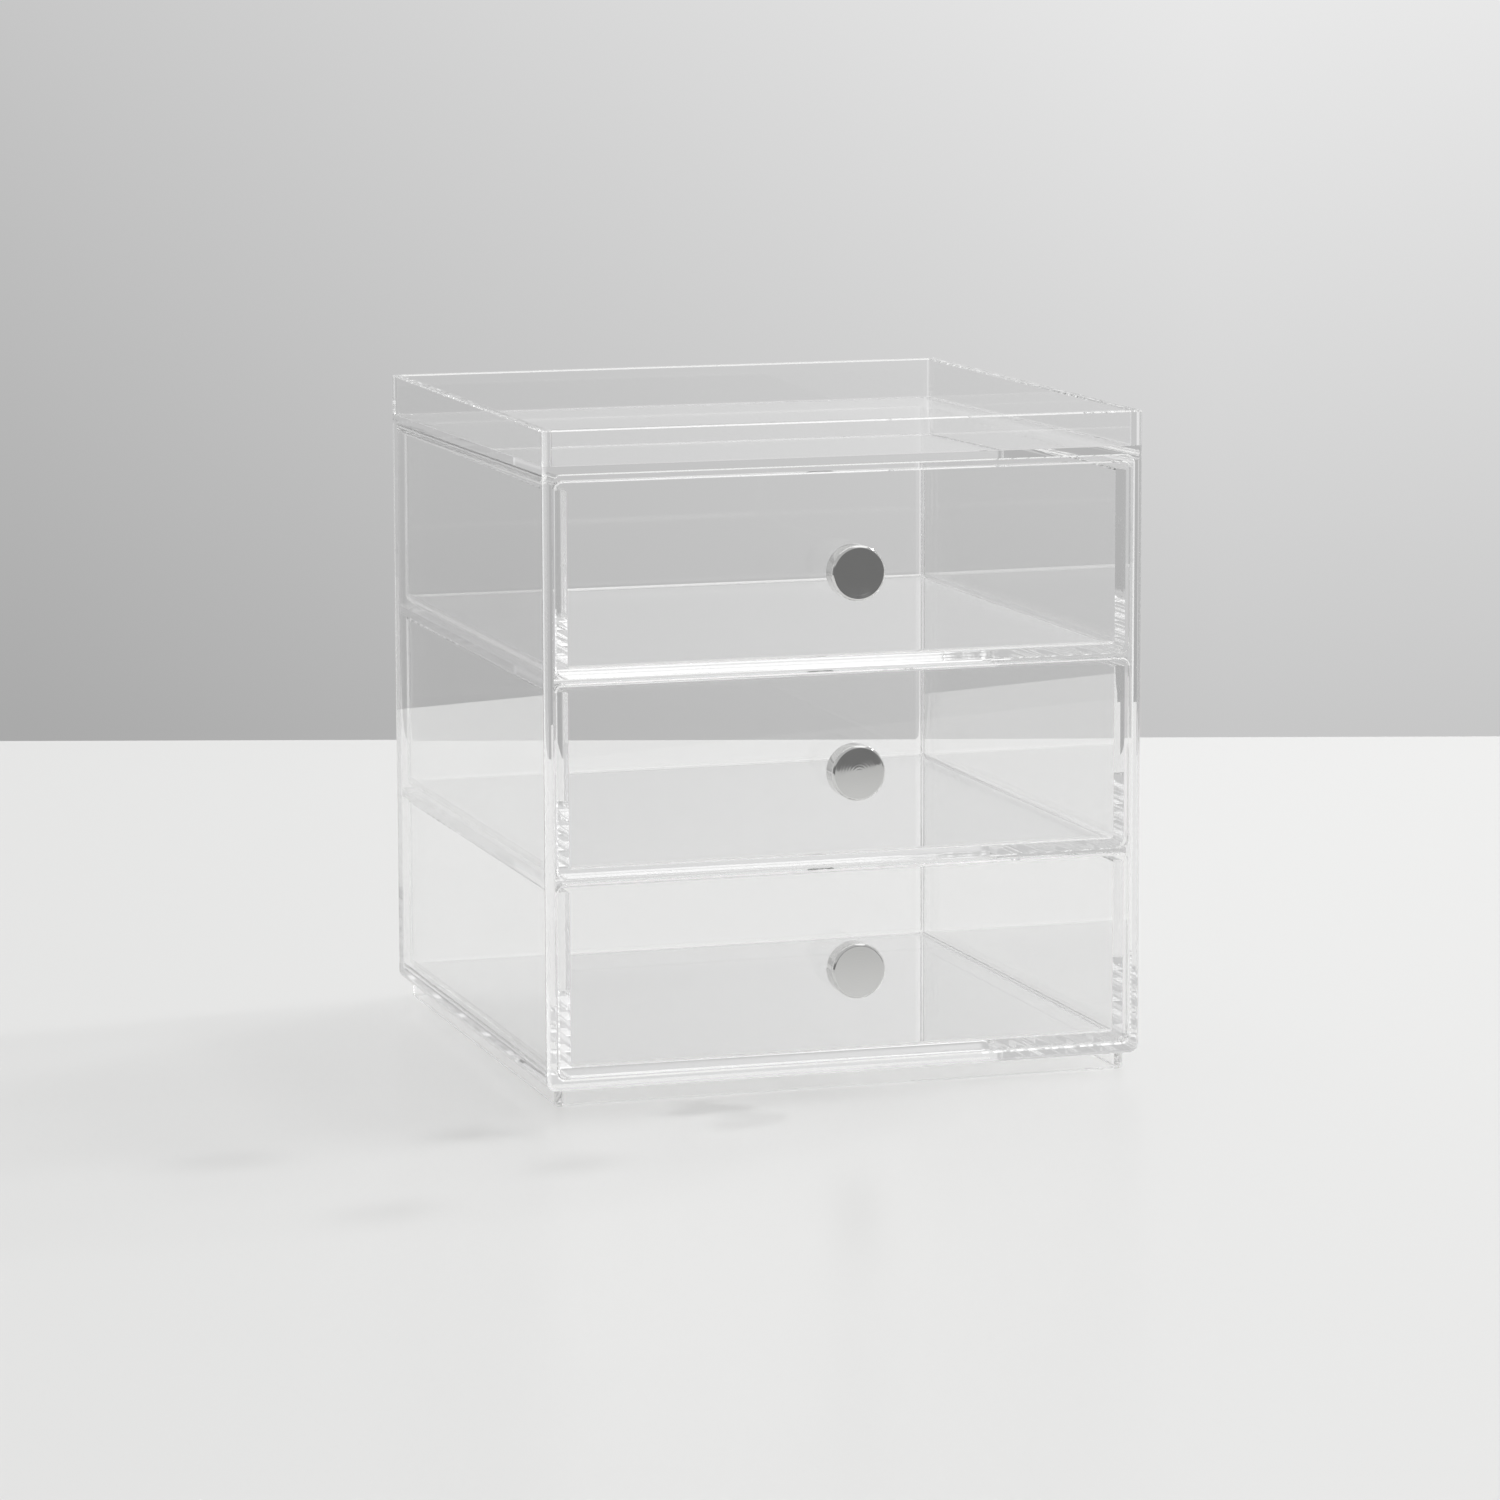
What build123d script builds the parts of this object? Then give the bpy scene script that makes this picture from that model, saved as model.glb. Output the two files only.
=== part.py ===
from build123d import *
import os

# Clear drawer box with three pull-out drawers, a raised rim round its top and an inset foot.
# +Z is up and the drawers pull out along -Y. The origin is the middle of the whole box of the part,
# knobs included, on the surface that the foot stands on. All sizes are in millimetres.

# Case: a moulded sleeve, open at the front. Its sides draw in and its top sinks a little towards the back.
case_width = 174.0         # across the front
case_depth = 174.0         # front edge to back face
side_draft = 1.6           # how far each side draws in between front and back
top_draft = 1.9            # how far the top sinks between front and back
case_wall = 2.8            # sides and back
bottom_wall = 3.2
top_wall = 2.6             # also the floor of the top tray
bay_corner = 2.5           # rounding inside the bays
keel_corner = 2.6          # rounding of the two long edges underneath
post_corner = 1.2          # rounding round the front edge and round the back
edge_break = 0.4           # small bevel that softens the open edges of every moulding

# Rim and foot: frames bonded above and below, so that a second unit can stack in the first.
rim_height = 9.8           # at the front; its top is level, so it is taller at the back
foot_height = 4.9
foot_wall = 2.4
foot_corner = 2.0
stack_gap = 0.4            # between the foot of one unit and the rim of the unit below
bond_line = 0.05           # cement film between bonded faces, left empty

# Shelves: bonded between the sides, behind the drawer fronts.
shelf_thickness = 2.2
shelf_setback = 0.6        # from the back of a drawer front to the shelf edge

# Drawers: one moulding each, a bin with a taller and wider front.
drawer_names = ("bottom", "middle", "top")
front_height = 54.3
front_thickness = 3.0
front_corner = 2.4
front_recess = 0.3         # front face behind the front edge of the case
front_side_gap = 0.5
front_seam = 1.2           # between one front and the next
front_top_gap = 1.6        # over the top front
bin_wall = 3.1
bin_floor = 2.4
bin_corner = 3.2           # outside rounding of the bin
bin_inner_corner = 1.2
bin_side_gap = 1.4
bin_rear_gap = 1.0
bin_headroom = 1.1         # under the shelf above
running_gap = 0.3          # under the bin

# Knobs: turned, with a neck and a flat disc, each held by one screw from inside.
knob_diameter = 15.5
knob_disc = 6.2
knob_chamfer = 0.6
neck_diameter = 8.4
neck_length = 4.5
screw_diameter = 4.0
screw_fit = 0.05           # round the screw in the knob
screw_hole_gap = 0.25      # round the screw in the drawer front
screw_reach = 5.0          # into the knob
screw_hole_spare = 1.0     # hole beyond the screw's tip
head_diameter = 7.6
head_height = 2.4
head_bevel = 0.8
slot_width = 1.0
slot_length = 4.6
slot_depth = 1.2

# Levels and depths that follow from the sizes above.
bay_pitch = front_height + front_seam
bay_floor = foot_height + bottom_wall
bay_ceiling = bay_floor + running_gap + (len(drawer_names) - 1) * bay_pitch + front_height + front_top_gap
case_top = bay_ceiling + top_wall
rim_base = case_top + bond_line
knob_length = neck_length + knob_disc
knob_reach = knob_length - front_recess
front_y = (knob_reach - case_depth) / 2
back_y = front_y + case_depth
drawer_front_y = front_y + front_recess
drawer_back_of_front_y = drawer_front_y + front_thickness
bin_back_y = back_y - case_wall - bin_rear_gap
bin_height = bay_pitch - shelf_thickness - running_gap - bin_headroom
overshoot = 5.0            # how far a cutting body runs past the face it opens


def half_width(y, inset):
    """Half the width at depth y, for a face that lies the given distance inside the case's side."""
    return case_width / 2 - inset - side_draft * (y - front_y) / case_depth


def plan_block(y_front, y_back, inset, z_low, z_high):
    """Upright block whose plan follows the case's tapering sides."""
    near = half_width(y_front, inset)
    far = half_width(y_back, inset)
    outline = Polyline((-near, y_front), (near, y_front), (far, y_back), (-far, y_back), close=True)
    return Pos(0, 0, z_low) * extrude(make_face(outline), z_high - z_low)


def under_top(level):
    """Wide body below a plane that crosses this level at the front edge and sinks back as the case's top does."""
    near = front_y - 2 * overshoot
    far = back_y + 2 * overshoot
    rise = top_draft * 2 * overshoot / case_depth
    side = Polyline((near, -overshoot), (near, level + rise), (far, level - top_draft - rise), (far, -overshoot),
                    close=True)
    return extrude(Plane.YZ * make_face(side), case_width, both=True)


def long_edges(block, level):
    """The two side edges that run from front to back at a level of the block, "low" or "high"."""
    sides = block.edges().filter_by(lambda edge: abs(edge.tangent_at(0.5).Y) > 0.9)
    rows = sides.group_by(Axis.Z)
    return rows[0] if level == "low" else rows[-1]


def uprights(block):
    """The upright edges of a block, front ones first."""
    return block.edges().filter_by(Axis.Z).sort_by(Axis.Y)


def base_edges(block):
    """The edges round the underside of a block, front one first."""
    return block.faces().sort_by(Axis.Z)[0].edges().sort_by(Axis.Y)


def case_shell():
    """Sleeve closed on five sides, with rounded bays and rounded edges all round but on its top."""
    outer = plan_block(front_y, back_y, 0, foot_height, case_top) & under_top(case_top)
    outer = fillet(long_edges(outer, "low"), keel_corner)
    end_edges = outer.faces().filter_by(Axis.Y).edges().sort_by(Axis.Z)
    outer = fillet(end_edges[:-2], post_corner)
    inner = plan_block(front_y - overshoot, back_y - case_wall, case_wall, bay_floor, case_top)
    inner = inner & under_top(bay_ceiling)
    inner = fillet(uprights(inner)[2:] + long_edges(inner, "low") + long_edges(inner, "high"), bay_corner)
    shell = outer - inner
    mouth = shell.faces().sort_by(Axis.Y)[0].inner_wires()[0]
    return chamfer(mouth.edges(), edge_break)


def frame(y_front, y_back, inset, wall, corner, z_low, height):
    """Upright frame that follows the case's plan at an inset, with rounded corners outside and in."""
    z_high = z_low + height
    outer = plan_block(y_front, y_back, inset, z_low, z_high)
    outer = fillet(uprights(outer), corner)
    inner = plan_block(y_front + wall, y_back - wall, inset + wall, z_low - overshoot, z_high + overshoot)
    inner = fillet(uprights(inner), max(corner - wall, edge_break))
    return outer - inner


def top_rim():
    """Lip with a level top that stands on the case's sinking top and makes it a tray, flush outside."""
    z_low = rim_base - top_draft
    rim = frame(front_y, back_y, 0, case_wall, post_corner, z_low, rim_height + top_draft) - under_top(rim_base)
    return chamfer(rim.faces().sort_by(Axis.Z)[-1].edges(), edge_break)


def base_foot():
    """Foot frame under the case, inset far enough to nest inside the rim of a unit below."""
    inset = case_wall + stack_gap
    height = foot_height - bond_line
    foot = frame(front_y + inset, back_y - inset, inset, foot_wall, foot_corner, 0, height)
    return chamfer(foot.faces().sort_by(Axis.Z)[0].edges(), edge_break)


def shelf(bay):
    """Plate that carries the drawer of a bay, bonded to both sides and the back of the case."""
    top = bay_floor + bay * bay_pitch
    y_edge = drawer_back_of_front_y + shelf_setback
    y_wall = back_y - case_wall - bond_line
    plate = plan_block(y_edge, y_wall, case_wall + bond_line, top - shelf_thickness, top)
    plate = fillet(uprights(plate)[2:], bay_corner)
    return chamfer(plate.faces().sort_by(Axis.Y)[0].edges().filter_by(Axis.X), edge_break)


def drawer_floor_z(bay):
    """Underside of the drawer of a bay."""
    return bay_floor + bay * bay_pitch + running_gap


def knob_z(bay):
    """Height of a knob: the middle of its drawer front."""
    return drawer_floor_z(bay) + front_height / 2


def drawer_front(bay):
    """Front panel with rounded corners and softened face edges, wider and taller than the bin."""
    width = 2 * half_width(drawer_front_y, case_wall + front_side_gap)
    outline = RectangleRounded(width, front_height, front_corner)
    panel = Pos(0, drawer_back_of_front_y, knob_z(bay)) * Rot(90, 0, 0) * extrude(outline, front_thickness)
    face = panel.faces().sort_by(Axis.Y)[0]
    return chamfer(face.edges(), edge_break)


def drawer_bin(bay):
    """Open bin behind the front, rounded underneath and at its back, with softened wall tops."""
    low = drawer_floor_z(bay)
    high = low + bin_height
    inset = case_wall + bin_side_gap
    outer = plan_block(drawer_back_of_front_y, bin_back_y, inset, low, high)
    outer = fillet(uprights(outer)[2:] + base_edges(outer)[1:], bin_corner)
    y_inner = bin_back_y - bin_wall
    inner = plan_block(drawer_back_of_front_y, y_inner, inset + bin_wall, low + bin_floor, high + overshoot)
    inner = fillet(uprights(inner)[2:] + base_edges(inner), bin_inner_corner)
    walls = outer - inner
    wall_tops = walls.faces().sort_by(Axis.Z)[-1].edges().sort_by(Axis.Y)
    return chamfer(wall_tops[2:], edge_break)


def drawer(bay):
    """One clear drawer: the bin and its front in one piece, with the hole for the knob's screw."""
    body = drawer_front(bay) + drawer_bin(bay)
    hole = Cylinder(screw_diameter / 2 + screw_hole_gap, front_thickness + 2 * overshoot)
    return body - Pos(0, drawer_back_of_front_y - front_thickness / 2, knob_z(bay)) * Rot(90, 0, 0) * hole


def on_front(bay, solid):
    """Places a turned solid, drawn along +Z from the front's face, so that it points out along -Y."""
    return Pos(0, drawer_front_y, knob_z(bay)) * Rot(90, 0, 0) * solid


def knob(bay):
    """Turned knob: neck, flat disc with chamfered rims, and the blind hole for its screw."""
    neck = neck_diameter / 2
    rim = knob_diameter / 2
    flat = rim - knob_chamfer
    profile = Polyline((0, 0), (neck, 0), (neck, neck_length), (flat, neck_length),
                       (rim, neck_length + knob_chamfer), (rim, knob_length - knob_chamfer),
                       (flat, knob_length), (0, knob_length), close=True)
    turned = revolve(Plane.XZ * make_face(profile), Axis.Z)
    depth = screw_reach + screw_hole_spare
    bore = Pos(0, 0, depth / 2) * Cylinder(screw_diameter / 2 + screw_fit, depth)
    return on_front(bay, turned - bore)


def knob_screw(bay):
    """Pan-head screw through the drawer front into the knob, with a cross slot in its head."""
    head_top = -front_thickness - head_height
    head = Pos(0, 0, head_top + head_height / 2) * Cylinder(head_diameter / 2, head_height)
    head = chamfer(head.edges().sort_by(Axis.Z)[0], head_bevel)
    shank = Cylinder(screw_diameter / 2, screw_reach + front_thickness)
    shank = Pos(0, 0, (screw_reach - front_thickness) / 2) * shank
    arm = Box(slot_length, slot_width, slot_depth)
    slots = Pos(0, 0, head_top + slot_depth / 2) * (arm + Rot(0, 0, 90) * arm)
    return on_front(bay, head + shank - slots)


def save(name, solid):
    """Writes one node's file."""
    export_step(solid, f"parts/{name}.step")


os.makedirs("parts", exist_ok=True)
save("case_shell", case_shell())
save("top_rim", top_rim())
save("base_foot", base_foot())
save("shelf_lower", shelf(1))
save("shelf_upper", shelf(2))
for bay, place in enumerate(drawer_names):
    save(f"drawer_{place}", drawer(bay))
    save(f"knob_{place}", knob(bay))
    save(f"knob_screw_{place}", knob_screw(bay))
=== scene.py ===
"""Clear drawer box with metal knobs on a white table: finishes, turned pieces, light and camera."""
from math import radians

import bpy
import numpy as np
from mathutils import Matrix, Vector


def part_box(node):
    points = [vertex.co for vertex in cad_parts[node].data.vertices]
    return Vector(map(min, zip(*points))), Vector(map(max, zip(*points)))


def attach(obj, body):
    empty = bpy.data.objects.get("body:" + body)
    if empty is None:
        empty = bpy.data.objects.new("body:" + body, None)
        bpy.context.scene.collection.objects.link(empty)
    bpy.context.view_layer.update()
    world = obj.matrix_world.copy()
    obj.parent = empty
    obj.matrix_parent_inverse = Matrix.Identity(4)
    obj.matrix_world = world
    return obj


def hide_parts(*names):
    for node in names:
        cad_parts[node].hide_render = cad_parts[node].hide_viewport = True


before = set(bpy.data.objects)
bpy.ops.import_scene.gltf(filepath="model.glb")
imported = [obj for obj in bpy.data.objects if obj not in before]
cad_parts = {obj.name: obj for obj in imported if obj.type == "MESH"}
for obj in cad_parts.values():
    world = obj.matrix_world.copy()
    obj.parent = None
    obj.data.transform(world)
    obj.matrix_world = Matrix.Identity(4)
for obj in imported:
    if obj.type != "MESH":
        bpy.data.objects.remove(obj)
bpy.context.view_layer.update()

MM = 0.001                              # the frame is in metres, the sizes below in millimetres
PLACES = ("bottom", "middle", "top")
ACRYLIC_NODES = ("case_shell", "top_rim", "base_foot", "shelf_lower", "shelf_upper",
                 "drawer_bottom", "drawer_middle", "drawer_top")

# Camera: fitted to the corners of the box in the photograph.
EYE = Vector((-520.9, -1654.5, 354.4)) * MM
HEADING = radians(17.39)                # turned right from straight ahead (+Y)
TILT = radians(-8.86)
ROLL = radians(-0.18)
LENS = 145.2
SENSOR = 36.0

# Table: its far edge passes behind the middle of the box, and the knobs mirror its near edge.
TABLE_MIDDLE = np.array([-16.4, -24.0]) * MM
TABLE_HALF_DEPTH = 596.8 * MM
TABLE_HALF_WIDTH = 1600 * MM
TABLE_CORNER = 30 * MM
TABLE_THICKNESS = 22 * MM
TABLE_EDGE = 2 * MM
TABLE_FLAT = 4 * MM                     # a flat ring beside the edge keeps the shading of the wide faces level
TABLE_INNER = 300 * MM
TABLE_CUT = 0.3 * MM
CORNER_STEPS = 13

# Knob: radii, and heights in front of the drawer's face, in mm.
BORE = 2.05
BORE_DEPTH = 6.0
NECK = 4.2
NECK_LENGTH = 4.5
RIM = 7.75
RIM_BEVEL = 0.55
KNOB_LENGTH = 10.7
CROWN = 170.0                           # radius of the face's crown
FACE = RIM - RIM_BEVEL
FACE_RINGS = 24
KNOB_STEPS = 120

# Screw, in mm from the same face: its head lies behind the drawer's front, its thread in the knob.
HEAD = 3.8
HEAD_SIDE = 1.0
HEAD_BACK = -3.0
HEAD_TOP = -5.4
SHANK = 2.0
SHANK_TIP = 5.0
THREAD_PITCH = 0.7
THREAD_DEPTH = 0.34
THREAD_TOP = SHANK_TIP - 0.4
THREAD_FOOT = HEAD_BACK + 0.5
THREAD_RUN_OUT = 0.8
THREAD_RINGS = 110
SCREW_STEPS = 96
HEAD_RINGS = 59
RECESS_WIDTH = 1.0
RECESS_LENGTH = 4.4
RECESS_DEPTH = 1.3
RECESS_SIDE_SLOPE = 0.2
RECESS_END_SLOPE = 0.7

# Finishes: the size of what shows in each surface, and its height.
ACRYLIC_INDEX = 1.49
RIPPLE_LENGTH = 45 * MM
RIPPLE_HEIGHT = 0.1 * MM
TOOL_RING_PITCH = 0.8 * MM
TOOL_RING_HEIGHT = 0.0012 * MM
HAZE_PATCH = 3 * MM
CHROME_ROUGHNESS = (0.03, 0.08)         # clean, and where the knob was handled
PLATING_GRAIN = 0.4 * MM
PLATING_HEIGHT = 0.02 * MM
STEEL_ROUGHNESS = 0.3
PEBBLE = 0.9 * MM
PEBBLE_HEIGHT = 0.03 * MM
LAMINATE_ROUGHNESS = 0.24

# Room: brightness of its parts.
WALL_LEFT_TO_RIGHT = (0.70, 1.0)        # the wall behind, times the next line
WALL_FOOT_TO_TOP = (0.578, 0.82)
SIDES = 0.88
CEILING = 0.55
DIM_FRONT = 0.2                         # below and in front of the box, for mirrors
DIM_SHARE_INSIDE = 0.5                  # of that dimming, for light that has bounced inside the acrylic
EVEN_GLOW = 0.38                        # for matt surfaces

# Where those parts begin and end, as x, y or z of the unit vector that points to them.
WALL_X = (0.18, 0.37)
WALL_Z = (-0.15, -0.03)
WALL_Y = (0.6, 0.84)
CEILING_Z = (0.25, 0.45)
FRONT_Y = (0.1, -0.4)
FRONT_Z = (0.45, 0.15)

# Light takes many turns inside clear walls before it leaves by an edge, so all limits on its path are high.
LIGHT_TURNS = 128
CLEAR_FACES = 64


def linear(code):
    """An sRGB hex colour such as "#d3d3d1" as linear RGBA."""
    channels = [int(code[i:i + 2], 16) / 255 for i in (1, 3, 5)]
    return tuple(c / 12.92 if c <= 0.04045 else ((c + 0.055) / 1.055) ** 2.4 for c in channels) + (1.0,)


def add(tree, kind, values={}, links={}, **settings):
    """Adds a shader node with its settings, its sockets' values and its incoming links."""
    made = tree.nodes.new(kind)
    for name, value in settings.items():
        setattr(made, name, value)
    for socket, value in values.items():
        made.inputs[socket].default_value = value
    for socket, source in links.items():
        tree.links.new(source, made.inputs[socket])
    return made


def ramp(tree, source, start_end, low_high=(0.0, 1.0), **settings):
    """A value that goes from low to high while its source goes from start to end."""
    made = add(tree, "ShaderNodeMapRange", {"From Min": start_end[0], "From Max": start_end[1],
                                            "To Min": low_high[0], "To Max": low_high[1]},
               {"Value": source}, **settings)
    return made.outputs[0]


def new_material(name):
    """An empty node material and its tree."""
    material = bpy.data.materials.new(name)
    material.use_nodes = True
    material.node_tree.nodes.clear()
    return material, material.node_tree


def moulded_acrylic():
    """Clear acrylic (PMMA), injection moulded in a polished mould: water-clear with sharp bright edges, and a very
    slow, shallow ripple where the melt flowed. A lamp's light goes straight through it and loses a little at each
    face. What pale surfaces throw back goes through it without loss."""
    material, tree = new_material("moulded_clear_acrylic")
    place = add(tree, "ShaderNodeTexCoord").outputs["Object"]
    ripple = add(tree, "ShaderNodeTexNoise", {"Scale": 1 / RIPPLE_LENGTH, "Detail": 1.0}, {"Vector": place})
    bump = add(tree, "ShaderNodeBump", {"Strength": 0.02, "Distance": RIPPLE_HEIGHT}, {"Height": ripple.outputs[0]})
    clear = add(tree, "ShaderNodeBsdfPrincipled",
                {"Base Color": linear("#ffffff"), "IOR": ACRYLIC_INDEX, "Roughness": 0.0,
                 "Transmission Weight": 1.0}, {"Normal": bump.outputs[0]})
    rays = add(tree, "ShaderNodeLightPath")
    passed = add(tree, "ShaderNodeMix", {6: linear("#ffffff"), 7: linear("#fbfbfb")},
                 {0: rays.outputs["Is Shadow Ray"]}, data_type="RGBA")
    straight = add(tree, "ShaderNodeBsdfTransparent", {}, {"Color": passed.outputs[2]})
    lighting = add(tree, "ShaderNodeMath", {}, {0: rays.outputs["Is Shadow Ray"], 1: rays.outputs["Is Diffuse Ray"]},
                   operation="MAXIMUM")
    mixed = add(tree, "ShaderNodeMixShader", {}, {0: lighting.outputs[0], 1: clear.outputs[0],
                                                  2: straight.outputs[0]})
    add(tree, "ShaderNodeOutputMaterial", {}, {"Surface": mixed.outputs[0]})
    return material


def chrome_plate():
    """Bright chrome plated on turned zinc: a neutral mirror. Rings of the lathe tool stay under the plating; real
    ones are 0.1 mm apart and are drawn at 0.8 mm so that they show. Handling leaves a faint haze in patches."""
    material, tree = new_material("bright_chrome_plate")
    place = add(tree, "ShaderNodeTexCoord").outputs["Object"]
    reach = add(tree, "ShaderNodeAttribute", attribute_name="radius").outputs["Fac"]
    turn = add(tree, "ShaderNodeMath", {1: 2 * np.pi / TOOL_RING_PITCH}, {0: reach}, operation="MULTIPLY")
    ring = add(tree, "ShaderNodeMath", {}, {0: turn.outputs[0]}, operation="SINE")
    bump = add(tree, "ShaderNodeBump", {"Strength": 0.5, "Distance": TOOL_RING_HEIGHT}, {"Height": ring.outputs[0]})
    haze = add(tree, "ShaderNodeTexNoise", {"Scale": 1 / HAZE_PATCH, "Detail": 3.0}, {"Vector": place})
    rough = ramp(tree, haze.outputs[0], (0.3, 0.7), CHROME_ROUGHNESS)
    chrome = add(tree, "ShaderNodeBsdfPrincipled", {"Base Color": linear("#e2e2e1"), "Metallic": 1.0},
                 {"Roughness": rough, "Normal": bump.outputs[0]})
    add(tree, "ShaderNodeOutputMaterial", {}, {"Surface": chrome.outputs[0]})
    return material


def zinc_steel():
    """Steel screw, cold headed and zinc plated: light grey metal with a satin grain of the plating."""
    material, tree = new_material("zinc_plated_steel")
    place = add(tree, "ShaderNodeTexCoord").outputs["Object"]
    grain = add(tree, "ShaderNodeTexNoise", {"Scale": 1 / PLATING_GRAIN, "Detail": 2.0}, {"Vector": place})
    bump = add(tree, "ShaderNodeBump", {"Strength": 0.1, "Distance": PLATING_HEIGHT}, {"Height": grain.outputs[0]})
    steel = add(tree, "ShaderNodeBsdfPrincipled",
                {"Base Color": linear("#b9b9b6"), "Metallic": 1.0, "Roughness": STEEL_ROUGHNESS},
                {"Normal": bump.outputs[0]})
    add(tree, "ShaderNodeOutputMaterial", {}, {"Surface": steel.outputs[0]})
    return material


def white_laminate():
    """White melamine laminate, pressed on a satin plate: a fine pebble, and soft streaks of what stands on it."""
    material, tree = new_material("white_satin_laminate")
    place = add(tree, "ShaderNodeTexCoord").outputs["Object"]
    pebble = add(tree, "ShaderNodeTexNoise", {"Scale": 1 / PEBBLE, "Detail": 2.0}, {"Vector": place})
    bump = add(tree, "ShaderNodeBump", {"Strength": 0.08, "Distance": PEBBLE_HEIGHT}, {"Height": pebble.outputs[0]})
    top = add(tree, "ShaderNodeBsdfPrincipled",
              {"Base Color": linear("#f3f3f2"), "Roughness": LAMINATE_ROUGHNESS}, {"Normal": bump.outputs[0]})
    add(tree, "ShaderNodeOutputMaterial", {}, {"Surface": top.outputs[0]})
    return material


def assign(material, *names):
    """Gives CAD nodes a material."""
    for name in names:
        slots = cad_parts[name].data.materials
        slots.clear()
        slots.append(material)


def capped_mesh(name, rings):
    """A closed smooth mesh over an array of points, shape (ring, step, 3). Each ring joins the next, its last step
    joins its first, and the first and last rings close to a point at their own middle."""
    count, steps = rings.shape[:2]
    index = np.arange(count * steps).reshape(count, steps)
    index = np.concatenate([index, index[:, :1]], 1)
    quads = np.stack([index[:-1, :-1], index[1:, :-1], index[1:, 1:], index[:-1, 1:]], -1).reshape(-1, 4)
    start = np.stack([index[0, :-1], index[0, 1:], np.full(steps, count * steps)], -1)
    end = np.stack([index[-1, 1:], index[-1, :-1], np.full(steps, count * steps + 1)], -1)
    points = np.concatenate([rings.reshape(-1, 3), rings[[0, -1]].mean(1)])
    mesh = bpy.data.meshes.new(name)
    mesh.from_pydata(points, [], quads.tolist() + start.tolist() + end.tolist())
    mesh.polygons.foreach_set("use_smooth", [True] * len(mesh.polygons))
    piece = bpy.data.objects.new(name, mesh)
    bpy.context.scene.collection.objects.link(piece)
    return piece


def eased(corners, steps=7):
    """A line from the first to the last of some corners, each an x, a y and a cut. A corner between them is eased
    over its cut on both sides: there the line follows the parabola that is tangent to both straight sides."""
    corners = np.array(corners, float)
    points, cuts = corners[:, :2], corners[1:-1, 2:]
    sides = np.diff(points, axis=0)
    sides = sides / np.linalg.norm(sides, axis=1, keepdims=True)
    before = points[1:-1] - cuts * sides[:-1]
    after = points[1:-1] + cuts * sides[1:]
    s = np.linspace(0, 1, steps)[None, :, None]
    line = (1 - s) ** 2 * before[:, None] + 2 * s * (1 - s) * points[1:-1, None] + s ** 2 * after[:, None]
    return np.concatenate([points[:1], line.reshape(-1, 2), points[-1:]])


def turned(name, radius, height, reach, node, body):
    """A piece round the axis of a CAD node's box, in its place: a point lies radius away from the axis, at its
    step's share of a full turn, and height in front of the drawer's face. Both are arrays (ring, step) in mm, and
    reach is how far the node stands out from that face."""
    low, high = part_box(node)
    face = low.y + reach * MM
    turn = np.linspace(0, 2 * np.pi, radius.shape[1], endpoint=False)
    rings = np.stack([(low.x + high.x) / 2 + MM * radius * np.cos(turn), face - MM * height,
                      (low.z + high.z) / 2 - MM * radius * np.sin(turn)], -1)
    piece = capped_mesh(name, rings)
    away = np.append(MM * radius.ravel(), [0, 0])
    piece.data.attributes.new("radius", "FLOAT", "POINT").data.foreach_set("value", away)
    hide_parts(node)
    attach(piece, body)
    return piece


def crowned(radius):
    """Height of the knob's face, which falls from its middle with the square of the radius."""
    return KNOB_LENGTH - radius ** 2 / (2 * CROWN)


def knob(place, material):
    """A turned knob. Its profile runs from the blind hole for the screw over a neck and the back of the disc to the
    rim, with eased corners, and over the crowned face to its middle."""
    face = FACE * np.linspace(0.96, 0.04, FACE_RINGS)
    low_face = crowned(FACE)
    profile = eased([(0.3, BORE_DEPTH, 0), (BORE, BORE_DEPTH, 0.2), (BORE, 0, 0.1), (NECK, 0, 0.3),
                     (NECK, NECK_LENGTH, 0.5), (RIM, NECK_LENGTH, 0.5), (RIM, low_face - RIM_BEVEL, 0.2),
                     (FACE, low_face, 0.15), (face[0] + 0.05, crowned(face[0]), 0)])
    radius = np.concatenate([profile[:, 0], face])
    height = np.concatenate([profile[:, 1], crowned(face)])
    whole = np.ones((1, KNOB_STEPS))
    piece = turned(f"turned_knob_{place}", radius[:, None] * whole, height[:, None] * whole, KNOB_LENGTH,
                   f"knob_{place}", f"drawer_{place}")
    piece.data.materials.append(material)


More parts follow.
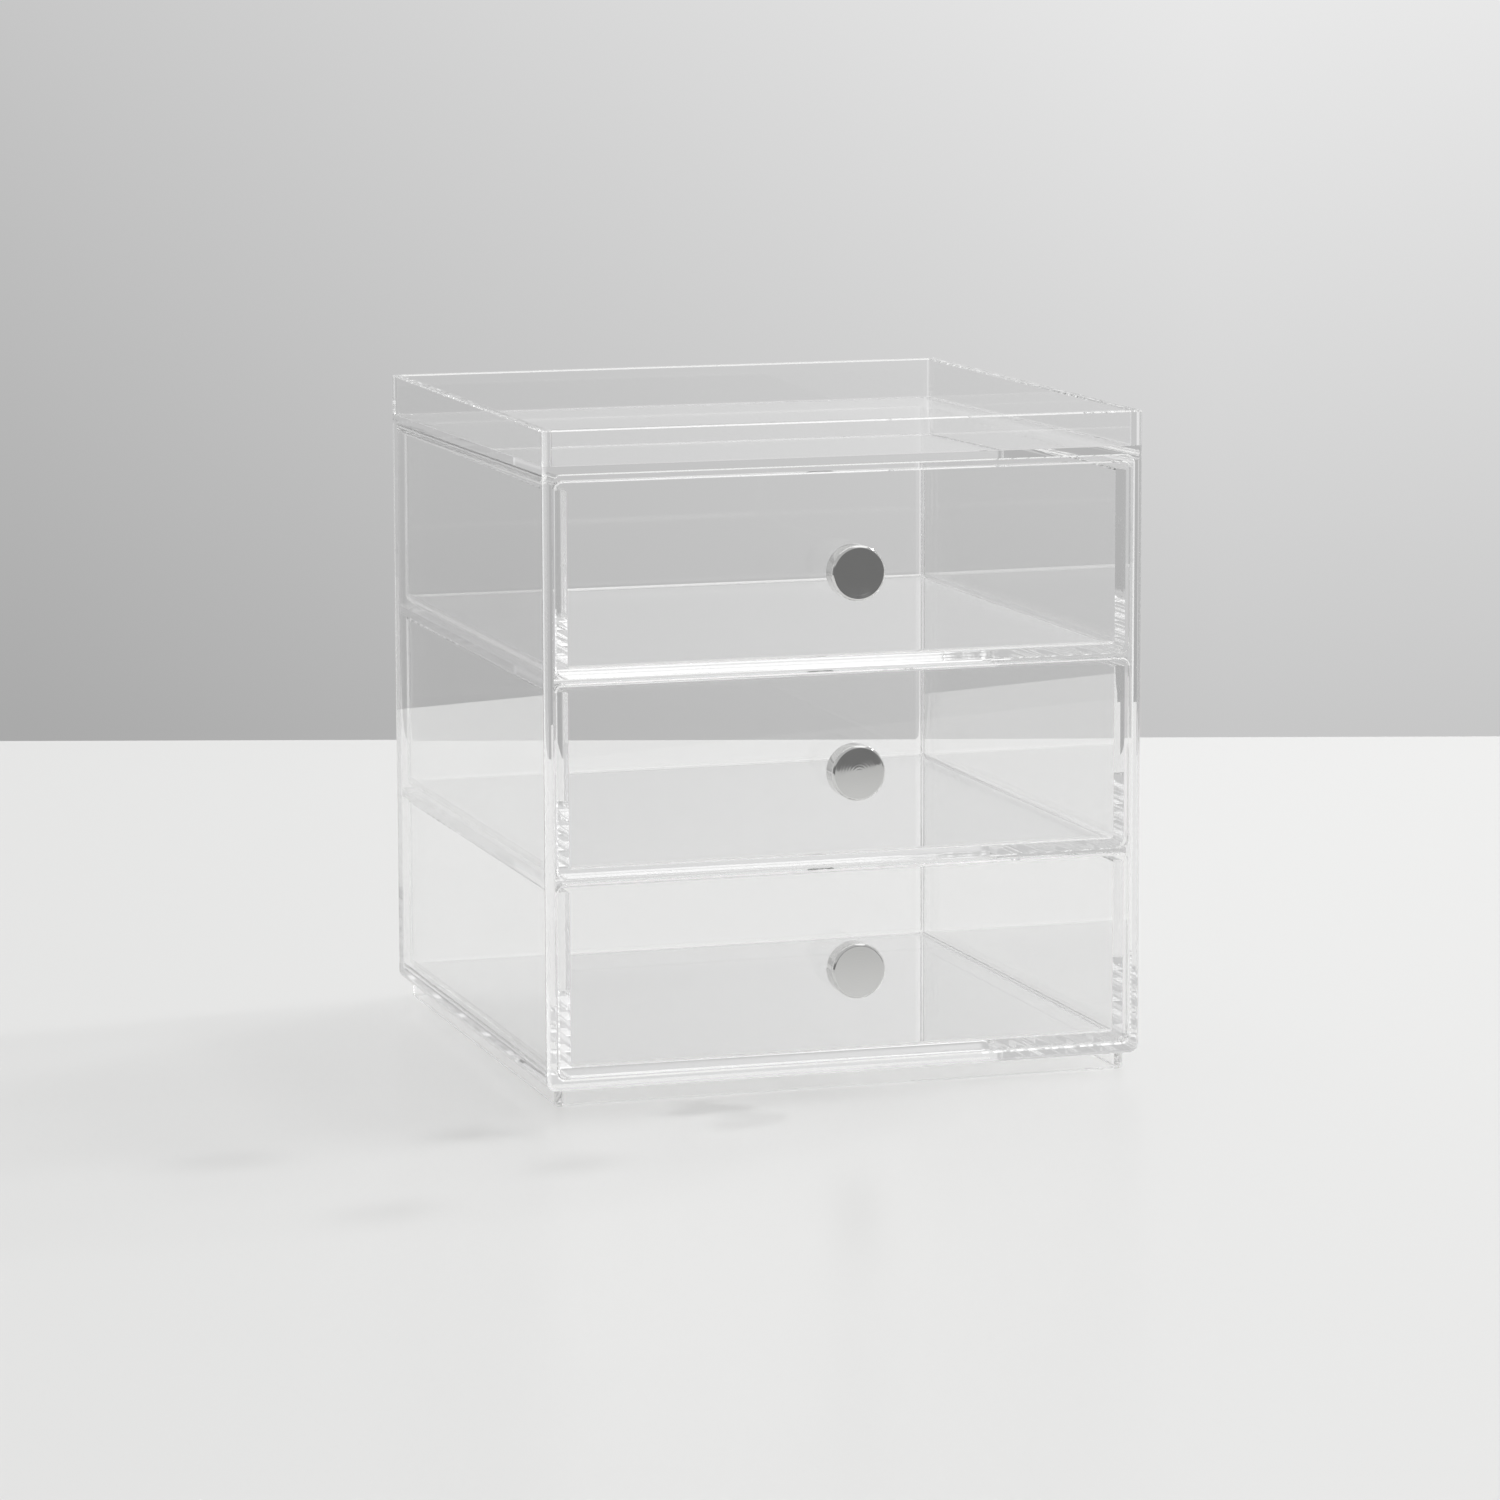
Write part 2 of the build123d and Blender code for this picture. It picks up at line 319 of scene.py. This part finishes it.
def knob_screw(place, material):
    """A pan-head screw. The shank's radius dips by a V-shaped thread whose phase is the height over the pitch less the
    share of a turn. The head is half an ellipse over a short side, and a cross-shaped recess is pressed into it."""
    turn = np.linspace(0, 1, SCREW_STEPS, endpoint=False)[None]
    climb = np.linspace(THREAD_TOP, THREAD_FOOT, THREAD_RINGS)[:, None]
    phase = (climb / THREAD_PITCH - turn) % 1
    run_out = np.clip((climb - THREAD_FOOT) / THREAD_RUN_OUT, 0, 1)
    shank = SHANK - THREAD_DEPTH * np.abs(2 * phase - 1) * run_out
    tip = np.array([[0.4, SHANK_TIP], [SHANK - 0.9, SHANK_TIP], [SHANK - 0.6, SHANK_TIP - 0.15]])
    under = eased([(SHANK, HEAD_BACK + 0.35, 0), (SHANK, HEAD_BACK, 0.15), (HEAD, HEAD_BACK, 0.2),
                   (HEAD, HEAD_BACK - 0.4, 0)])
    lift = np.linspace(0, np.pi / 2, HEAD_RINGS, endpoint=False)[:, None]
    out = HEAD * np.cos(lift) * np.ones_like(turn)
    x, z = out * np.cos(2 * np.pi * turn), out * np.sin(2 * np.pi * turn)
    arm = np.minimum(np.abs(x), np.abs(z))
    far = np.maximum(np.abs(x), np.abs(z))
    pressed = RECESS_DEPTH * np.clip((RECESS_WIDTH / 2 - arm) / RECESS_SIDE_SLOPE, 0, 1) * np.clip(
        (RECESS_LENGTH / 2 - far) / RECESS_END_SLOPE, 0, 1)
    pan = HEAD_BACK - HEAD_SIDE + (HEAD_TOP - HEAD_BACK + HEAD_SIDE) * np.sin(lift) + pressed
    whole = np.ones_like(turn)
    radius = np.concatenate([tip[:, :1] * whole, shank, under[:, :1] * whole, out])
    height = np.concatenate([tip[:, 1:] * whole, climb * whole, under[:, 1:] * whole, pan])
    piece = turned(f"pan_head_screw_{place}", radius[::-1], height[::-1], SHANK_TIP, f"knob_screw_{place}",
                   f"drawer_{place}")
    piece.data.materials.append(material)


def table():
    """The table's top: a slab whose plan is a rectangle with rounded corners, square to the camera's heading. Each
    ring is that rectangle drawn in by the profile's inset, and the profile eases over the top and bottom edges."""
    ahead = np.array([np.sin(HEADING), np.cos(HEADING)])
    aside = np.array([np.cos(HEADING), -np.sin(HEADING)])
    turn = np.linspace(0, np.pi / 2, CORNER_STEPS)
    arc = np.stack([np.cos(turn), np.sin(turn)], -1)
    quarter = np.array([[0, -1], [1, 0]])
    square = np.concatenate([arc, arc @ quarter.T, -arc, -arc @ quarter.T])
    corner = np.sign(np.repeat([[1, 1], [-1, 1], [-1, -1], [1, -1]], CORNER_STEPS, 0))
    profile = eased([(TABLE_INNER, 0, 0), (TABLE_FLAT, 0, TABLE_CUT), (0, 0, TABLE_EDGE),
                     (0, -TABLE_THICKNESS, TABLE_EDGE), (TABLE_FLAT, -TABLE_THICKNESS, TABLE_CUT),
                     (TABLE_INNER, -TABLE_THICKNESS, 0)])
    half = np.array([TABLE_HALF_WIDTH, TABLE_HALF_DEPTH]) - TABLE_CORNER
    inset = profile[:, :1, None]
    plan = corner * (half - np.maximum(inset - TABLE_CORNER, 0)) + square * np.maximum(TABLE_CORNER - inset, 0)
    ground = TABLE_MIDDLE + plan[..., :1] * aside + plan[..., 1:] * ahead
    rings = np.concatenate([ground, np.broadcast_to(profile[:, 1:, None], ground.shape[:2] + (1,))], -1)
    piece = capped_mesh("table_top", rings)
    piece.data.materials.append(white_laminate())


def camera():
    """The photograph's camera."""
    data = bpy.data.cameras.new("camera")
    data.lens = LENS
    data.sensor_width = SENSOR
    data.clip_start = 0.05
    data.clip_end = 50
    eye = bpy.data.objects.new("camera", data)
    eye.matrix_world = (Matrix.Translation(EYE) @ Matrix.Rotation(-HEADING, 4, "Z")
                        @ Matrix.Rotation(radians(90) + TILT, 4, "X") @ Matrix.Rotation(ROLL, 4, "Z"))
    bpy.context.scene.collection.objects.link(eye)
    bpy.context.scene.camera = eye


def aimed(name, kind, azimuth, elevation, distance, **settings):
    """A lamp that faces the box from a compass direction (0 is +Y, 90 is +X), a height angle and a distance."""
    a, e = radians(azimuth), radians(elevation)
    towards = Vector((np.sin(a) * np.cos(e), np.cos(a) * np.cos(e), np.sin(e)))
    data = bpy.data.lights.new(name, kind)
    for setting, value in settings.items():
        setattr(data, setting, value)
    light = bpy.data.objects.new(name, data)
    light.matrix_world = (Matrix.Translation(towards * distance)
                          @ towards.to_track_quat("Z", "Y").to_matrix().to_4x4())
    bpy.context.scene.collection.objects.link(light)


def room():
    """The room as light and background: a pale wall behind, lighter to the right and upwards, bright sides and a
    softer ceiling. Mirrors also see the dim side of the room in front, and light that has bounced inside the acrylic
    meets half of that dimming. Matt surfaces get one even glow."""
    world = bpy.data.worlds.new("room")
    world.use_nodes = True
    tree = world.node_tree
    tree.nodes.clear()
    bpy.context.scene.world = world
    way = add(tree, "ShaderNodeTexCoord").outputs["Generated"]
    x, y, z = add(tree, "ShaderNodeSeparateXYZ", {}, {0: way}).outputs
    smooth = {"interpolation_type": "SMOOTHSTEP"}
    wall = add(tree, "ShaderNodeMath", {}, {0: ramp(tree, x, WALL_X, WALL_LEFT_TO_RIGHT),
                                            1: ramp(tree, z, WALL_Z, WALL_FOOT_TO_TOP)}, operation="MULTIPLY")
    walls = add(tree, "ShaderNodeMix", {2: SIDES}, {0: ramp(tree, y, WALL_Y, **smooth), 3: wall.outputs[0]})
    shell = add(tree, "ShaderNodeMix", {3: CEILING}, {0: ramp(tree, z, CEILING_Z, **smooth), 2: walls.outputs[0]})
    corner = add(tree, "ShaderNodeMath", {}, {0: ramp(tree, y, FRONT_Y, **smooth),
                                              1: ramp(tree, z, FRONT_Z, **smooth)}, operation="MULTIPLY")
    rays = add(tree, "ShaderNodeLightPath")
    bounced = add(tree, "ShaderNodeMath", {1: DIM_SHARE_INSIDE}, {0: rays.outputs["Glossy Depth"]},
                  operation="MINIMUM")
    share = add(tree, "ShaderNodeMath", {}, {0: bounced.outputs[0], 1: rays.outputs["Is Reflection Ray"]},
                operation="MAXIMUM")
    mirrored = add(tree, "ShaderNodeMath", {}, {0: corner.outputs[0], 1: share.outputs[0]}, operation="MULTIPLY")
    dim = add(tree, "ShaderNodeMix", {3: DIM_FRONT}, {0: mirrored.outputs[0], 2: shell.outputs[0]})
    even = add(tree, "ShaderNodeMix", {3: EVEN_GLOW}, {0: rays.outputs["Is Diffuse Ray"], 2: dim.outputs[0]})
    glow = add(tree, "ShaderNodeBackground", {"Color": linear("#fefefe")}, {"Strength": even.outputs[0]})
    add(tree, "ShaderNodeOutputWorld", {}, {"Surface": glow.outputs[0]})


assign(moulded_acrylic(), *ACRYLIC_NODES)
chrome = chrome_plate()
steel = zinc_steel()
for place in PLACES:
    knob(place, chrome)
    knob_screw(place, steel)
table()
room()
aimed("window", "SUN", azimuth=81, elevation=38, distance=4.0, energy=0.96, angle=radians(5))
aimed("window_behind", "SUN", azimuth=58, elevation=38, distance=4.0, energy=0.72, angle=radians(5))
aimed("ceiling_softbox", "AREA", azimuth=20, elevation=65, distance=1.7, energy=13, size=2.4)
camera()

scene = bpy.context.scene
scene.view_settings.view_transform = "Standard"
scene.cycles.max_bounces = LIGHT_TURNS
scene.cycles.transmission_bounces = LIGHT_TURNS
scene.cycles.glossy_bounces = LIGHT_TURNS
scene.cycles.transparent_max_bounces = CLEAR_FACES
scene.cycles.caustics_reflective = False
scene.cycles.caustics_refractive = False
